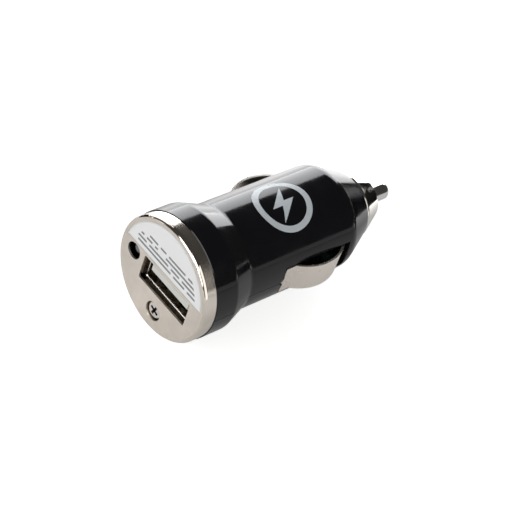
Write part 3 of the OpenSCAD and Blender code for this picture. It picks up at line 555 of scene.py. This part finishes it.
def wind(name, mat, sizes, turn=(0, 0, 0)):
    """A coil of round wire that stands on its foot point, turned about it."""
    tree, start, end, names = start_tree(name, sizes)
    given = start.outputs
    helix = {"Rotations": given["Turns"], "Height": given["Height"], "Resolution": 40}
    helix["Start Radius"] = helix["End Radius"] = given["Coil radius"]
    spiral = knot(tree, "GeometryNodeCurveSpiral", helix)
    disc = {"Resolution": 12, "Radius": given["Wire radius"]}
    section = knot(tree, "GeometryNodeCurvePrimitiveCircle", disc)
    lines = {"Curve": spiral.outputs["Curve"], "Profile Curve": section.outputs["Curve"]}
    sweep = knot(tree, "GeometryNodeCurveToMesh", {**lines, "Fill Caps": True})
    foot = knot(tree, "ShaderNodeCombineXYZ", {a: given["Foot " + a.lower()] for a in "XYZ"})
    stand = {"Translation": foot.outputs["Vector"], "Rotation": turn}
    put = knot(tree, "GeometryNodeTransform", {"Geometry": sweep.outputs["Mesh"], **stand})
    close_tree(tree, put.outputs["Geometry"], mat, end)
    return grow(link_mesh(name, bmesh.new()), tree, names, sizes)


wire = finish("drawn_wire", (0.52, 0.52, 0.53), metallic=1, roughness=0.28)
where = place(wire)
patch = mottle(wire, where, scale=1600, low=0.22, high=0.36)
tint(wire, patch, (0.46, 0.46, 0.47), (0.6, 0.6, 0.61))
grain(wire, where, scale=7000, height=0.000002)
spring_low, spring_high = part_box("tip_spring")
wire_r, spring_turns, pin_travel = 0.000225, 5, 0.0022
spring_sizes = {
    "Turns": spring_turns,
    "Coil radius": spring_high.x - wire_r,
    "Wire radius": wire_r,
    "Height": spring_high.y - spring_low.y - 2 * wire_r,
    "Foot x": 0.0,
    "Foot y": spring_low.y + wire_r,
    "Foot z": 0.0,
}
spring = wind("tip_spring_coil", wire, spring_sizes, (math.radians(-90), 0, 0))
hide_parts("tip_spring")
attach(spring, "housing")
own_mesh(spring)

brass = finish("pressed_brass", (0.70, 0.50, 0.22), metallic=1, roughness=0.3)
where = place(brass)
patch = mottle(brass, where, scale=900, low=0.24, high=0.42)
tint(brass, patch, (0.60, 0.42, 0.18), (0.76, 0.57, 0.29))
grain(brass, place(brass, (1, 1, 0.1)), scale=5000, height=0.000002)
dress("spring_seat", brass)


# --- Ground clips and lamp leads ---------------------------------------------
# Tin-plated strip and wire. The clips press on the contacts' legs inside the
# shells, and the two wires carry the lamp.
tin = finish("tin_plate", (0.60, 0.61, 0.62), metallic=1, roughness=0.34)
where = place(tin)
patch = mottle(tin, where, scale=1300, low=0.28, high=0.46)
tint(tin, patch, (0.55, 0.56, 0.57), (0.67, 0.68, 0.69))
grain(tin, where, scale=4200, height=0.000003)
for name in ("ground_clip_left", "ground_clip_right", "lamp_leads"):
    dress(name, tin)


# --- Circuit board -----------------------------------------------------------
# Glass-epoxy board under green solder mask, routed to a step where the barrel
# narrows. Copper tracks stand up a little under the mask.
coat = {"Coat_Weight": 0.3, "Coat_Roughness": 0.12}
mask = finish("solder_mask", (0.004, 0.022, 0.011), metallic=0, roughness=0.26, **coat)
where = place(mask)
bricks = {"Vector": where, "Scale": 620, "Mortar Size": 0.03, "Mortar": (0, 0, 0, 1)}
bricks["Color1"] = bricks["Color2"] = (1, 1, 1, 1)
tracks = knot(mask.node_tree, "ShaderNodeTexBrick", bricks, offset=0.37)
raised = span(mask, tracks.outputs["Fac"], 0, 1, 1, 0)
tint(mask, raised, (0.003, 0.015, 0.008), (0.006, 0.032, 0.015))
mottle(mask, where, scale=700, low=0.2, high=0.32)
step = {"Height": raised, "Distance": 0.00002}
relief = knot(mask.node_tree, "ShaderNodeBump", step).outputs["Normal"]
grain(mask, where, scale=5000, height=0.000002, under=relief)
dress("circuit_board", mask)


# --- Parts on the board ------------------------------------------------------
# Moulded black epoxy chips, ferrite drum core, sleeved aluminium capacitors and
# chip parts, all soldered to the board and hidden by the shells.
epoxy = finish("chip_epoxy", (0.018, 0.018, 0.02), metallic=0, roughness=0.5)
where = place(epoxy)
patch = mottle(epoxy, where, scale=1200, low=0.42, high=0.6)
tint(epoxy, patch, (0.014, 0.014, 0.016), (0.03, 0.03, 0.032))
grain(epoxy, where, scale=8000, height=0.000006)
for name in ("regulator_chip", "rectifier_diode", "chip_resistors"):
    dress(name, epoxy)

ferrite = finish("drum_ferrite", (0.045, 0.046, 0.05), metallic=0, roughness=0.6)
where = place(ferrite)
patch = mottle(ferrite, where, scale=1500, low=0.5, high=0.7)
tint(ferrite, patch, (0.035, 0.036, 0.04), (0.07, 0.07, 0.075))
grain(ferrite, where, scale=5500, height=0.000012)
dress("inductor_core", ferrite)

sleeve = finish("can_sleeve", (0.012, 0.014, 0.022), metallic=0, roughness=0.3)
where = place(sleeve)
stripe = span(sleeve, axis_of(sleeve, where, "Z"), 0.00078, 0.00082)
tint(sleeve, stripe, (0.012, 0.014, 0.022), (0.30, 0.31, 0.33))
mottle(sleeve, where, scale=500, low=0.24, high=0.38)
grain(sleeve, where, scale=2600, height=0.000006)
for name in ("input_capacitor", "output_capacitor"):
    dress(name, sleeve)

ceramic = finish("chip_ceramic", (0.40, 0.30, 0.19), metallic=0, roughness=0.55)
where = place(ceramic)
patch = mottle(ceramic, where, scale=1800, low=0.45, high=0.62)
tint(ceramic, patch, (0.36, 0.27, 0.17), (0.46, 0.35, 0.23))
grain(ceramic, where, scale=6000, height=0.000006)
dress("chip_capacitors", ceramic)


# --- Storage coil's winding --------------------------------------------------
# Five close turns of enamelled copper wire round the drum core, wound by
# machine, in the space between its two flanges.
coat = {"Coat_Weight": 0.5, "Coat_Roughness": 0.1}
enamel = finish("copper_enamel", (0.62, 0.24, 0.09), metallic=1, roughness=0.26, **coat)
where = place(enamel)
patch = mottle(enamel, where, scale=1400, low=0.2, high=0.34)
tint(enamel, patch, (0.54, 0.19, 0.065), (0.70, 0.30, 0.12))
grain(enamel, where, scale=5000, height=0.000003)

coil_low, coil_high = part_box("inductor_winding")
coil_wire_r, coil_margin = 0.00025, 0.00026
coil_sizes = {
    "Turns": 5,
    "Coil radius": (coil_high.x - coil_low.x) / 2 - coil_margin,
    "Wire radius": coil_wire_r,
    "Height": coil_high.z - coil_low.z - 2 * coil_margin,
    "Foot x": (coil_low.x + coil_high.x) / 2,
    "Foot y": (coil_low.y + coil_high.y) / 2,
    "Foot z": coil_low.z + coil_margin,
}
winding = wind("winding_turns", enamel, coil_sizes)
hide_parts("inductor_winding")
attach(winding, "housing")


# --- Solder joints -----------------------------------------------------------
# A small fillet of solder round each lead under the board, hollow sided, as
# the wave leaves it.
board_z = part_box("circuit_board")[0].z
socket_x, pin_places, pin_half = 0.0016, (-0.0035, -0.001, 0.001, 0.0035), 0.000125
pins_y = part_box("usb_contacts")[1].y - pin_half
lead_points = [(socket_x + x, pins_y, board_z) for x in pin_places]
lead_r, lamp_pitch, can_half_pitch = 0.00025, 0.0011, 0.001
wires_low, wires_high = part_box("lamp_leads")
wires_x, wires_y = (wires_low.x + wires_high.x) / 2, wires_high.y - lead_r
lead_points += [(wires_x, y, board_z) for y in (wires_y, wires_y - lamp_pitch)]
for can in ("input_capacitor", "output_capacitor"):
    can_low, can_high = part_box(can)
    can_x, can_y = (can_low.x + can_high.x) / 2, can_high.y - lead_r
    lead_points += [(can_x + side * can_half_pitch, can_y, board_z) for side in (-1, 1)]
bm = bmesh.new()
for point in lead_points:
    bm.verts.new(point)

solder = finish("bright_solder", (0.66, 0.665, 0.67), metallic=1, roughness=0.22)
where = place(solder)
patch = mottle(solder, where, scale=2400, low=0.16, high=0.34)
tint(solder, patch, (0.6, 0.605, 0.61), (0.74, 0.745, 0.75))
grain(solder, where, scale=5200, height=0.000006)

joint_sizes = {"Foot radius": 0.00062, "Tip radius": 0.0003, "Height": 0.00045, "Belly": 0.6}
tree, start, end, names = start_tree("solder_fillets", joint_sizes)
given = start.outputs
cone_sizes = {"Vertices": 20, "Side Segments": 6, "Depth": given["Height"]}
cone_sizes |= {"Radius Top": given["Tip radius"], "Radius Bottom": given["Foot radius"]}
cone = knot(tree, "GeometryNodeMeshCone", cone_sizes)
point = knot(tree, "GeometryNodeInputPosition").outputs["Position"]
point_z = knot(tree, "ShaderNodeSeparateXYZ", {"Vector": point}).outputs["Z"]
rise = knot(tree, "ShaderNodeMath", {0: point_z, 1: given["Height"]}, operation="DIVIDE")
bow = knot(tree, "ShaderNodeMath", {0: rise.outputs[0], 1: 0.5}, operation="PINGPONG")
bowed = {0: bow.outputs[0], 1: given["Belly"]}
pinch = knot(tree, "ShaderNodeMath", bowed, operation="MULTIPLY")
narrow = knot(tree, "ShaderNodeMath", {0: 1.0, 1: pinch.outputs[0]}, operation="SUBTRACT")
shares = {"X": narrow.outputs[0], "Y": narrow.outputs[0], "Z": 1.0}
squeeze = knot(tree, "ShaderNodeCombineXYZ", shares)
drawn_in = {0: point, 1: squeeze.outputs["Vector"]}
moved = knot(tree, "ShaderNodeVectorMath", drawn_in, operation="MULTIPLY")
form = {"Geometry": cone.outputs["Mesh"], "Position": moved.outputs["Vector"]}
fillet = knot(tree, "GeometryNodeSetPosition", form)
hang = {"Points": given["Geometry"], "Instance": fillet.outputs["Geometry"]}
hung = knot(tree, "GeometryNodeInstanceOnPoints", {**hang, "Rotation": (math.pi, 0, 0)})
close_tree(tree, hung.outputs["Instances"], solder, end)
joints = grow(link_mesh("solder_joints", bm), tree, names, joint_sizes)
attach(joints, "housing")
